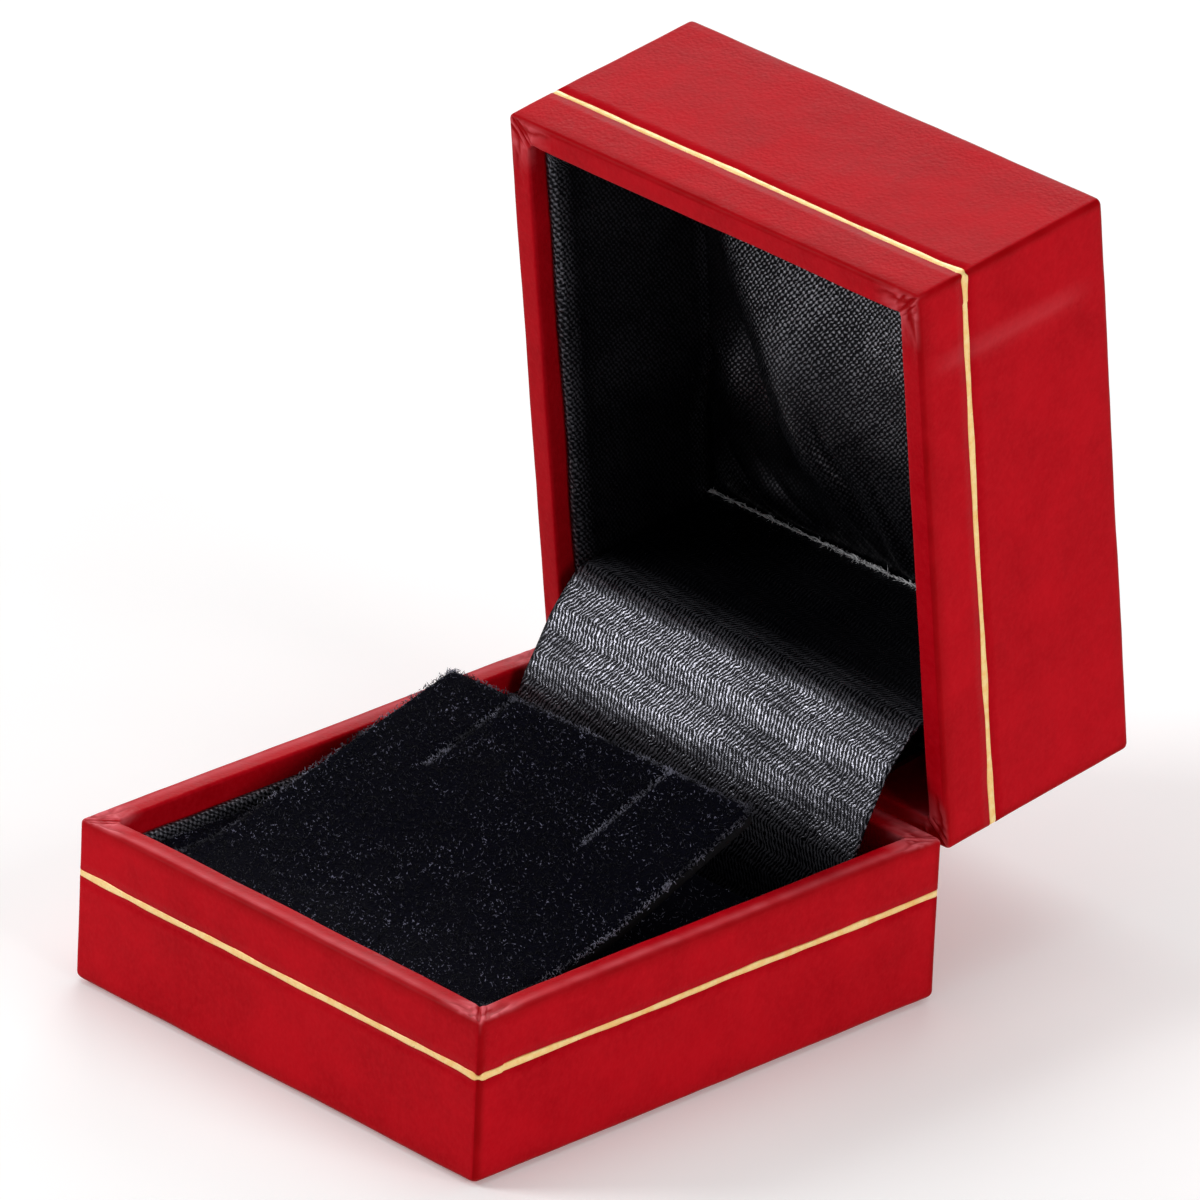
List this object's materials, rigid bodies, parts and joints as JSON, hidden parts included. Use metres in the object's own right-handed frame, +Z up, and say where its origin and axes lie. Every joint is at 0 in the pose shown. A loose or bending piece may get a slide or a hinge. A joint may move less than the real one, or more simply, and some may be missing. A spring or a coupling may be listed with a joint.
{
  "type": "ring box",
  "caption": "Small hinged box with a leatherette skin and gold lines; velvet ring flap with a clip tab in the base, satin-lined lid on a sprung hinge.",
  "frame": {"origin": "centre of the base's underside, where the box rests", "axes": "+Z up, +Y towards the hinge, -Y the front, +X across; the lid stands open"},
  "size_m": [0.05, 0.0777, 0.0714],
  "materials": {
    "red_leatherette": "fine-grained red leatherette paper, semi-gloss",
    "gold_foil": "stamped gold foil line",
    "rigid_board": "moulded rigid board",
    "bottom_paper": "black textured paper",
    "black_satin": "black satin with a visible twill",
    "black_velvet": "short-pile black velvet",
    "foam": "soft white foam",
    "black_card": "thin black card",
    "hinge_steel": "pressed, lightly plated steel"
  },
  "bodies": {
    "base": {"base_shell": "rigid_board", "base_wrap": "red_leatherette", "base_gold_line": "gold_foil", "base_bottom_sheet": "bottom_paper", "base_liner_card": "black_card", "base_liner_satin": "black_satin", "base_floor_pad": "foam", "base_floor_velvet": "black_velvet", "insert_card": "black_card", "insert_velvet": "black_velvet", "base_hinge_leaf": "hinge_steel", "base_hinge_rivets": "hinge_steel", "hinge_pin": "hinge_steel", "hinge_cover": "black_satin", "bow_spring_left": "hinge_steel", "bow_spring_right": "hinge_steel"},
    "ring_flap": {"ring_flap_card": "black_card", "ring_flap_velvet": "black_velvet"},
    "clip_tab": {"clip_tab_card": "black_card", "clip_tab_velvet": "black_velvet"},
    "lid": {"lid_shell": "rigid_board", "lid_wrap": "red_leatherette", "lid_gold_line": "gold_foil", "lid_liner_card": "black_card", "lid_liner_satin": "black_satin", "lid_ceiling_card": "black_card", "lid_ceiling_foam": "foam", "lid_ceiling_satin": "black_satin", "lid_hinge_board": "black_card", "lid_hinge_leaf": "hinge_steel", "lid_hinge_rivets": "hinge_steel"}
  },
  "joints": [
    {"name": "lid_hinge", "type": "hinge", "parent": "base", "child": "lid", "pos_m": [0, 0.0268, 0.0145], "axis": [1, 0, 0], "range_deg": [0, 82], "deforming": ["hinge_cover", "bow_spring_left", "bow_spring_right"]},
    {"name": "flap_fold", "type": "hinge", "parent": "base", "child": "ring_flap", "pos_m": [0, -0.0212, 0.0123], "axis": [1, 0, 0], "range_deg": [-15, 12], "stiffness_Nm_per_rad": 0.02},
    {"name": "tab_flex", "type": "hinge", "parent": "ring_flap", "child": "clip_tab", "pos_m": [0, 0.00015, 0.01762], "axis": [1, 0, 0], "range_deg": [-18, 12], "stiffness_Nm_per_rad": 0.0015}
  ]
}
